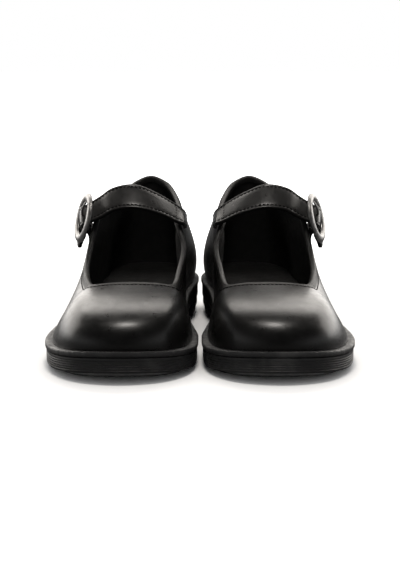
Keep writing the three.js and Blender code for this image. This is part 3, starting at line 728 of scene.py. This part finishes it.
# strap and buckle
buckle = {"radius": 17.5, "opening": 11.3, "depth": 1.6, "middle": (80.2, 140.0, 83.0),
          "tilt": 14.0, "yaw": 17.0, "turn": 38.0, "bedDatum": 19.9,
          "barRadius": 0.9, "barDrop": 3.2, "prong": 0.75, "eyeWidth": 2.2}
tilt, yaw, turn = (math.radians(buckle[k]) for k in ("tilt", "yaw", "turn"))
ringOut = np.array([math.cos(tilt) * math.cos(yaw), -math.cos(tilt) * math.sin(yaw), math.sin(tilt)])
uprightRing = np.array([-math.sin(tilt) * math.cos(yaw), math.sin(tilt) * math.sin(yaw), math.cos(tilt)])
levelRing = np.array([math.sin(yaw), math.cos(yaw), 0.0])
ringUp = uprightRing * math.cos(turn) - levelRing * math.sin(turn)
ringAlong = levelRing * math.cos(turn) + uprightRing * math.sin(turn)
buckleMiddle = np.array(buckle["middle"])
buckleMiddle[2] += bedHeight(buckleMiddle[1]) - buckle["bedDatum"]


eyeRadius = buckle["barRadius"] + gap    # inside of what turns on the bar


def atBuckle(up, y, out):
    return buckleMiddle + up * ringUp + y * ringAlong + out * ringOut


def aroundBar(angle, radius, y):
    return atBuckle(radius * math.cos(angle), y, -buckle["barDrop"] + radius * math.sin(angle))


def rodRings(points, radius, facets, count, taper=None):
    points = np.array(points)
    where = np.linspace(0, len(points) - 1, count)
    centres = splinePoints(points, where, False)
    ahead = splinePoints(points, where + 0.02, False) - splinePoints(points, where - 0.02, False)
    ahead /= np.linalg.norm(ahead, axis=1, keepdims=True)
    side = np.cross(ahead, ringOut)
    side /= np.linalg.norm(side, axis=1, keepdims=True)
    other = np.cross(ahead, side)
    angle = 2 * np.pi * (np.arange(facets) + 0.5) / facets
    size = np.full(count, radius) if taper is None else radius * taper(np.linspace(0, 1, count))
    return (centres[:, None] + size[:, None, None] * (side[:, None] * np.cos(angle)[None, :, None]
                                                      + other[:, None] * np.sin(angle)[None, :, None]))


def joinPieces(name, objects):
    target = objects[0]
    with bpy.context.temp_override(active_object=target, selected_editable_objects=objects):
        bpy.ops.object.join()
    target.name = name
    target.data.name = name
    return target


# across and through the ring's section, in half widths
ringProfile = [(-1, -0.35), (-0.92, -0.8), (-0.6, -1), (0, -1), (0.6, -1), (0.92, -0.8), (1, -0.35),
               (0.9, 0.2), (0.62, 0.7), (0.25, 0.93), (-0.15, 0.95), (-0.55, 0.75), (-0.88, 0.25)]


def buildBuckle(side):
    middle = (buckle["radius"] + buckle["opening"]) / 2
    half = (buckle["radius"] - buckle["opening"]) / 2
    rings = []
    for angle in np.linspace(0, 2 * np.pi, 121)[:-1]:
        rings.append([atBuckle((middle + half * r) * math.sin(angle), (middle + half * r) * math.cos(angle),
                               buckle["depth"] * h) for r, h in ringProfile])
    ring = sweepMesh(side + "_ring", rings, True, 60)
    opening, drop = buckle["opening"], buckle["barDrop"]
    bend = opening - 2.2
    barPath = [(-middle, -0.4), (-opening, -1.8), (-bend, -drop), (0, -drop), (bend, -drop), (opening, -1.8),
               (middle, -0.4)]
    bar = sweepMesh(side + "_bar", rodRings([atBuckle(0, y, out) for y, out in barPath],
                                            buckle["barRadius"], 16, 60), False, 60)
    both = joinPieces(side + "_buckle_ring", [ring, bar])
    finishPiece(both, "buckle", "buckle_metal", satinMetal, "buckle_frame")


def buildProng(side):
    drop, inner, width = buckle["barDrop"], eyeRadius, buckle["eyeWidth"] / 2
    outer = inner + 0.8
    eyeProfile = [(inner, -width), (inner + 0.15, -width), (outer - 0.25, -width), (outer, -width + 0.3),
                  (outer, width - 0.3), (outer - 0.25, width), (inner, width)]
    eye = sweepMesh(side + "_eye", [[aroundBar(a, r, y) for r, y in eyeProfile]
                                    for a in np.linspace(0, 2 * np.pi, 41)[:-1]], True, 40)
    pinPath = [(0.6, -drop + inner + 0.75), (2.6, 1.2), (8, 3),
               (15.6, buckle["depth"] + gap + buckle["prong"] + 0.1)]
    pin = sweepMesh(side + "_pin", rodRings(
        [atBuckle(up, 0, out) for up, out in pinPath], buckle["prong"], 14, 50,
        lambda t: 1.25 - 0.35 * t - 0.5 * np.maximum(0, (t - 0.93) / 0.07) ** 2), False, 50)
    prong = joinPieces(side + "_prong", [eye, pin])
    finishPiece(prong, "prong", "buckle_metal", satinMetal, "buckle_prong")


def buildChape(side):
    # the foot's rows are front and back points on the upper, as station and share of its height
    fold = {"thick": 1.1, "half": 7.0, "hang": -7.5, "rows": 5,
            "foot": [[(5.95, 0.74), (6.45, 0.83)], [(6.1, 0.6), (6.58, 0.69)]]}
    inner, thick, half = eyeRadius, fold["thick"], fold["half"]
    section = [-half, -half + 0.25, -half + 1.2, 0, half - 1.2, half - 0.25, half]
    edge = np.array([0.35, 0.08, 0, -0.02, 0, 0.08, 0.35])    # rounding of the strip's two edges
    depthAt = 2 + strap["thickness"] + strap["lining"] + 2 * gap

    def footPoint(row, across, depth):
        front, back = (upperPoint([u], [v], -depth)[0] for u, v in fold["foot"][row])
        return front * (1 - across) + back * across

    def footCurve(t, y, high, depth):
        across = (y + half) / (2 * half)
        low, middle = footPoint(1, across, depth), footPoint(0, across, depth)
        return high * (1 - t) ** 2 + middle * 2 * t * (1 - t) + low * t * t

    rings = []
    for t in np.linspace(1, 0, fold["rows"]):    # from the foot's lower edge up to the loop
        outer = [footCurve(t, y, atBuckle(fold["hang"], y, -depthAt - c), gap + thick - c)
                 for y, c in zip(section, edge)]
        under = [footCurve(t, y, atBuckle(fold["hang"], y, -depthAt - 2 * thick + c), gap + c)
                 for y, c in zip(section, edge)]
        rings.append(np.array(outer + under[::-1]))
    foot = sweepMesh(side + "_foot", rings, False, 50)
    loop = []
    for a in np.linspace(0.78 * np.pi, -0.78 * np.pi, 26):
        outer = [aroundBar(a, inner + thick - c, y) for y, c in zip(section, edge)]
        under = [aroundBar(a, inner + 0.02, y) for y in section]
        loop.append(np.array(outer + under[::-1]))
    eye = sweepMesh(side + "_loop", loop, False, 50)
    legs = []
    for up in (-1.4, -3, -5, -7.6):
        top = 0.5 - depthAt - 0.5 * (-up - 1.4) / 6.2
        outer = [atBuckle(up, y, top - c) for y, c in zip(section, edge)]
        under = [atBuckle(up, y, top - 2 * thick + c) for y, c in zip(section, edge)]
        legs.append(np.array(outer + under[::-1]))
    leg = sweepMesh(side + "_leg", legs, False, 50)
    chape = joinPieces(side + "_chape_loop", [foot, eye, leg])
    finishPiece(chape, "buckle", "upper_leather", calf, "chape")


# x, y, z over the foot; the last number is how far the point moves out with the stack of leathers
strapFront = [(12.2, 131.6, 77.2, -1), (13.4, 131.4, 80.2, -1), (18.4, 131, 82, -1), (26.6, 130.5, 87.6, 0),
              (44.4, 130, 91.8, 0), (58.5, 130.5, 89.9, 0), (67.5, 131.2, 85, 0)]
strapBack = [(12.3, 150.2, 79, -1), (13.1, 149.8, 86, -1), (18.6, 148.8, 91, -1), (30.6, 147.3, 100.6, 0),
             (45.2, 147, 105.9, 0), (60.5, 147, 103.2, 0), (69, 146.8, 97.5, 0)]
strap = {"thickness": 1.4, "lining": 0.8, "half": 9.0, "stack": 4.05, "bedAt": 145.0, "bedDatum": 20.8}
strapReach = math.sqrt(buckle["opening"] ** 2 - strap["half"] ** 2)
# up and out in the ring's own frame, over the bar and down to the tail
strapThrough = [(strapReach * 0.59, -0.2), (1.6, 2.05), (-1.6, 2.05), (-strapReach * 0.59, 0),
                (-strapReach - 1.05, -2), (-15, -2.1), (-20.5, -2.4)]
strapTail = (-22.6, -2.6)


def strapEdge(points, sign):
    over = np.array(points, dtype=float)
    over[:, 0] += over[:, 3] * strap["stack"]
    over[:, 2] += bedHeight(strap["bedAt"]) - strap["bedDatum"]
    over = over[:, :3]
    through = [atBuckle(up, sign * strap["half"], out) for up, out in strapThrough]
    tail = [atBuckle(strapTail[0], sign * strap["half"] * 0.55, strapTail[1])]
    return np.vstack([over, through, tail])


strapEdges = [strapEdge(strapFront, -1), strapEdge(strapBack, 1)]
strapLength = len(strapEdges[0]) - 1


def strapPoint(t, across, depth):
    t, across = np.broadcast_arrays(np.asarray(t, dtype=float), np.asarray(across, dtype=float))
    front, back = (splinePoints(e, t, False) for e in strapEdges)
    ahead = [splinePoints(e, t + 0.04, False) - splinePoints(e, t - 0.04, False) for e in strapEdges]
    w = across[:, None]
    normal = np.cross(back - front, ahead[0] * (1 - w) + ahead[1] * w)
    normal /= np.linalg.norm(normal, axis=1, keepdims=True)
    return front * (1 - w) + back * w + normal * np.reshape(depth, (-1, 1))


def strapMesh(name, profile, count):
    rings = []
    for t in np.linspace(0.0, strapLength, count):
        front, back = (splinePoints(e, [t], False)[0] for e in strapEdges)
        width = np.linalg.norm(back - front)
        across = np.array([(a if a >= 0 else width + a) / width for a, _ in profile])
        across = np.clip(across, 0, 1)
        rings.append(strapPoint(np.full(len(profile), t), across, np.array([d for _, d in profile])))
    return sweepMesh(name, rings, False, 45)


def buildStrap(side):
    # distance from one edge, or minus the distance from the other, and depth
    thick = strap["thickness"]
    face = [(0.12, 0.25), (0.5, 0.02), (1.1, -0.06), (1.8, 0.02), (2.3, 0.12), (2.8, 0.03), (4.2, -0.12),
            (6.5, -0.2)]
    profile = ([(0.0, thick * 0.5)] + face + [(-a, depth) for a, depth in face[::-1]]
               + [(-0.001, thick * 0.5), (-0.12, thick - 0.1), (-0.6, thick), (-3, thick), (3, thick),
                  (0.6, thick), (0.12, thick - 0.1)])
    top = strapMesh(side + "_strap_leather", profile, 150)
    finishPiece(top, "strap", "upper_leather", calf, "strap")
    low, high = thick + 0.02, thick + gap + strap["lining"]
    profile = [(0.35, low + 0.2), (0.6, low), (-0.6, low), (-0.35, low + 0.2),
               (-0.35, high - 0.2), (-0.6, high), (0.6, high), (0.35, high - 0.2)]
    under = strapMesh(side + "_strap_lining_leather", profile, 120)
    finishPiece(under, "strap", "lining_leather", liningLeather, "strap_lining")


for sideName in sides:
    buildBuckle(sideName)
    buildProng(sideName)
    buildChape(sideName)
    buildStrap(sideName)
print("straps and buckles built")

# stitching
def buildStitchTree():
    tree = bpy.data.node_groups.new("stitchRows", "GeometryNodeTree")
    tree.interface.new_socket("Rows", in_out="INPUT", socket_type="NodeSocketGeometry")
    for label, value in (("Pitch", 0.0026), ("Stitch Length", 0.0019), ("Thread", 0.0005), ("Seed", 3)):
        kind = "NodeSocketInt" if label == "Seed" else "NodeSocketFloat"
        tree.interface.new_socket(label, in_out="INPUT", socket_type=kind).default_value = value
    tree.interface.new_socket("Stitches", in_out="OUTPUT", socket_type="NodeSocketGeometry")
    given = addNode(tree, "NodeGroupInput").outputs
    curve = addNode(tree, "GeometryNodeMeshToCurve", Mesh=given["Rows"])
    spaced = addNode(tree, "GeometryNodeResampleCurve", mode="LENGTH", Curve=curve.outputs["Curve"],
                     Length=given["Pitch"])
    tangent = addNode(tree, "GeometryNodeInputTangent")
    turned = addNode(tree, "FunctionNodeAlignRotationToVector", axis="Z", Vector=tangent.outputs["Tangent"])
    bead = addNode(tree, "GeometryNodeMeshUVSphere", Segments=8, Rings=6, Radius=0.5)
    size = addNode(tree, "ShaderNodeCombineXYZ", X=given["Thread"], Y=given["Thread"],
                   Z=given["Stitch Length"])
    vary = addNode(tree, "FunctionNodeRandomValue", data_type="FLOAT_VECTOR", Min=(0.9, 0.9, 0.88),
                   Max=(1.1, 1.1, 1.04), Seed=given["Seed"])
    scaled = addNode(tree, "ShaderNodeVectorMath", operation="MULTIPLY")
    tree.links.new(size.outputs["Vector"], scaled.inputs[0])
    tree.links.new(vary.outputs["Value"], scaled.inputs[1])
    placed = addNode(tree, "GeometryNodeInstanceOnPoints", Points=spaced.outputs["Curve"],
                     Instance=bead.outputs["Mesh"], Rotation=turned.outputs["Rotation"],
                     Scale=scaled.outputs["Vector"])
    real = addNode(tree, "GeometryNodeRealizeInstances", Geometry=placed.outputs["Instances"])
    coat = addNode(tree, "GeometryNodeSetMaterial", Material=thread, Geometry=real.outputs["Geometry"])
    addNode(tree, "NodeGroupOutput", Stitches=coat.outputs["Geometry"])
    return tree


stitchTree = buildStitchTree()


def stitchRows(name, rows, sizes):
    side = sides[name.split("_")[0]]
    verts, edges = [], []
    for row, closed in rows:
        base = len(verts)
        verts += [(side * (x + shoe["pairGap"] / 2) / 1000, (y - shoe["length"] / 2) / 1000, z / 1000)
                  for x, y, z in row]
        edges += [(base + k, base + k + 1) for k in range(len(row) - 1)]
        if closed:
            edges.append((base + len(row) - 1, base))
    guide = bpy.data.meshes.new(name + "_guide")
    guide.from_pydata(verts, edges, [])
    carrier = bpy.data.objects.new(name + "_guide", guide)
    bpy.context.scene.collection.objects.link(carrier)
    modifier = carrier.modifiers.new("stitches", "NODES")
    modifier.node_group = stitchTree
    for item in stitchTree.interface.items_tree:
        if item.in_out == "INPUT" and item.name in sizes:
            modifier[item.identifier] = sizes[item.name]
    bpy.context.view_layer.update()
    done = carrier.evaluated_get(bpy.context.evaluated_depsgraph_get())
    mesh = bpy.data.meshes.new_from_object(done)
    mesh.name = name
    carrier.modifiers.remove(modifier)
    bpy.data.objects.remove(carrier)
    bpy.data.meshes.remove(guide)
    mesh.polygons.foreach_set("use_smooth", np.ones(len(mesh.polygons), dtype=bool))
    obj = bpy.data.objects.new(name, mesh)
    bpy.context.scene.collection.objects.link(obj)
    return obj


def topRow(drop, depth, u):
    span = 3 * np.linalg.norm(lipSpan(u), axis=1)
    return upperPoint(u, 1 - drop / span, np.full(len(u), depth))


def buildStitching(side):
    seam = {"Pitch": 0.0027, "Stitch Length": 0.0021, "Thread": 0.0008}
    place = {"belowLip": 5.3, "besideStay": 0.36, "fromEdge": 2.6, "crossSeam": 2.12}
    around = np.linspace(0, stationCount, 500)[:-1]
    rows = [(topRow(place["belowLip"], -0.08, around), True)]
    for u in (heelStation - place["besideStay"], heelStation + place["besideStay"]):
        v = np.linspace(0.05, 0.82, 40)
        rows.append((upperPoint(np.full(40, u), v, np.full(40, -0.1)), False))
    topline = stitchRows(side + "_topline_stitches", rows, {**seam, "Seed": 5})
    t = np.linspace(0.35, strapLength - 1.15, 160)
    front, back = (splinePoints(edge, t, False) for edge in strapEdges)
    share = place["fromEdge"] / np.linalg.norm(back - front, axis=1)
    rows = [(strapPoint(t, across, np.full(len(t), 0.02)), False) for across in (share, 1 - share)]
    w = np.linspace(0.13, 0.87, 12)
    rows.append((strapPoint(np.full(12, place["crossSeam"]), w, np.full(12, -0.12)), False))
    band = stitchRows(side + "_strap_stitches", rows, {**seam, "Seed": 9})
    for obj, part in ((topline, "_shoe"), (band, "_strap")):
        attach(obj, side + part)


for sideName in sides:
    buildStitching(sideName)
print("stitching done")

# solids kept from the frame
keptSolids = {"bottom_filler": corkFill, "shank": shankMetal, "insole_board": fibreBoard,
              "toe_puff": stiffenerSheet, "heel_counter": stiffenerSheet}
for sideName in sides:
    for node, material in keptSolids.items():
        cad = cadNodes[sideName + "_" + node]
        cad.data.materials.clear()
        cad.data.materials.append(material)
    for k in range(1, 4):
        for place in ("toe", "heel"):
            cad = cadNodes[f"{sideName}_{place}_tap_screw_{k}"]
            cad.data.materials.clear()
            cad.data.materials.append(screwMetal)

# floor, light and camera
def buildStage():
    stage = {"size": 6.0, "whiteFrom": 0.16, "whiteTo": 0.55,    # glow grows with distance from the shoes
             "seen": (0.95, 0.95, 0.95, 1), "reflected": (0.1, 0.1, 0.1, 1)}
    size = stage["size"]
    floor = bpy.data.meshes.new("floor")
    corners = [(-size, -size, 0), (size, -size, 0), (size, size, 0), (-size, size, 0)]
    floor.from_pydata(corners, [], [(0, 1, 2, 3)])
    obj = bpy.data.objects.new("floor", floor)
    bpy.context.scene.collection.objects.link(obj)
    material, tree, shader = newMaterial("paleFloor", Roughness=1.0, Specular_IOR_Level=0.0)
    seen = tree.nodes.new("ShaderNodeLightPath").outputs["Is Camera Ray"]
    tree.links.new(mixColour(tree, seen, stage["reflected"], stage["seen"]), shader.inputs["Base Color"])
    place = tree.nodes.new("ShaderNodeVectorMath")
    place.operation = "LENGTH"
    tree.links.new(tree.nodes.new("ShaderNodeTexCoord").outputs["Object"], place.inputs[0])
    glow = ramp(tree, place.outputs["Value"], stage["whiteFrom"], stage["whiteTo"])
    tree.links.new(mathNode(tree, "MULTIPLY", glow, seen), shader.inputs["Emission Strength"])
    shader.inputs["Emission Color"].default_value = (1, 1, 1, 1)
    floor.materials.append(material)


softboxes = {    # place, target, width, depth and power
    "backSoftbox": ((0.0, 0.95, 1.15), (0, -0.05, 0.04), 1.5, 0.5, 10),
    "toeSoftbox": ((0.0, -0.34, 1.2), (0, -0.05, 0.04), 0.24, 0.18, 6),
    "leftSoftbox": ((0.85, 0.8, 0.55), (0, 0, 0.05), 1.7, 0.9, 14.5),
    "rightSoftbox": ((-0.85, 0.8, 0.55), (0, 0, 0.05), 1.7, 0.9, 14.5),
}
lampColour = (1.0, 0.955, 0.9)


def buildSoftbox(name, place, target, width, depth, power):
    data = bpy.data.lights.new(name, "AREA")
    data.energy = power
    data.color = lampColour
    data.shape = "RECTANGLE"
    data.size, data.size_y = width, depth
    obj = bpy.data.objects.new(name, data)
    obj.location = place
    obj.rotation_euler = (Vector(target) - Vector(place)).to_track_quat("-Z", "Y").to_euler()
    bpy.context.scene.collection.objects.link(obj)
    return obj


def buildLight():
    light = {"behind": 0.9, "sides": 0.7, "front": 0.01, "ambient": 0.75}
    world = bpy.data.worlds.new("studio")
    bpy.context.scene.world = world
    world.use_nodes = True
    tree = world.node_tree
    background = tree.nodes["Background"]
    direction = tree.nodes.new("ShaderNodeSeparateXYZ")
    tree.links.new(tree.nodes.new("ShaderNodeTexCoord").outputs["Generated"], direction.inputs[0])
    back = ramp(tree, direction.outputs["Y"], 0.1, 0.55, 0.0, light["behind"])
    low = ramp(tree, direction.outputs["Z"], 0.02, 0.34, 1.0, 0.05)
    acrossX = mathNode(tree, "ABSOLUTE", direction.outputs["X"])
    beside = ramp(tree, acrossX, 0.25, 0.95, 0.0, light["sides"])
    level = ramp(tree, direction.outputs["Z"], 0.05, 0.5, 1.0, 0.0)
    wash = mathNode(tree, "ADD", mathNode(tree, "MULTIPLY", back, low), light["front"])
    wash = mathNode(tree, "ADD", wash, mathNode(tree, "MULTIPLY", beside, level))
    path = tree.nodes.new("ShaderNodeLightPath")
    soft = mathNode(tree, "MULTIPLY", path.outputs["Is Diffuse Ray"], light["ambient"])
    wash = mathNode(tree, "MAXIMUM", wash, soft)
    strength = mathNode(tree, "MAXIMUM", wash, path.outputs["Is Camera Ray"])
    tree.links.new(strength, background.inputs["Strength"])
    background.inputs["Color"].default_value = (1, 1, 1, 1)
    boxes = {name: buildSoftbox(name, *values) for name, values in softboxes.items()}
    for sideName in sides:    # each side box lights only the shoe next to it
        own = bpy.data.collections.new(sideName + "ShoeLit")
        for obj in bpy.context.scene.objects:
            if obj.name.startswith(sideName + "_"):
                own.objects.link(obj)
        boxes[sideName + "Softbox"].light_linking.receiver_collection = own


def buildCamera():
    view = {"distance": 0.770, "height": 0.210, "pitch": 10.85, "lens": 83.6}
    data = bpy.data.cameras.new("camera")
    data.lens = view["lens"]
    data.sensor_width = 36
    data.clip_start = 0.05
    obj = bpy.data.objects.new("camera", data)
    obj.location = (0, -shoe["length"] / 2000 - view["distance"], view["height"])
    obj.rotation_euler = (math.radians(90 - view["pitch"]), 0, 0)
    bpy.context.scene.collection.objects.link(obj)
    bpy.context.scene.camera = obj


buildStage()
buildLight()
buildCamera()
bpy.context.scene.view_settings.view_transform = "Standard"
print("stage, light and camera ready")
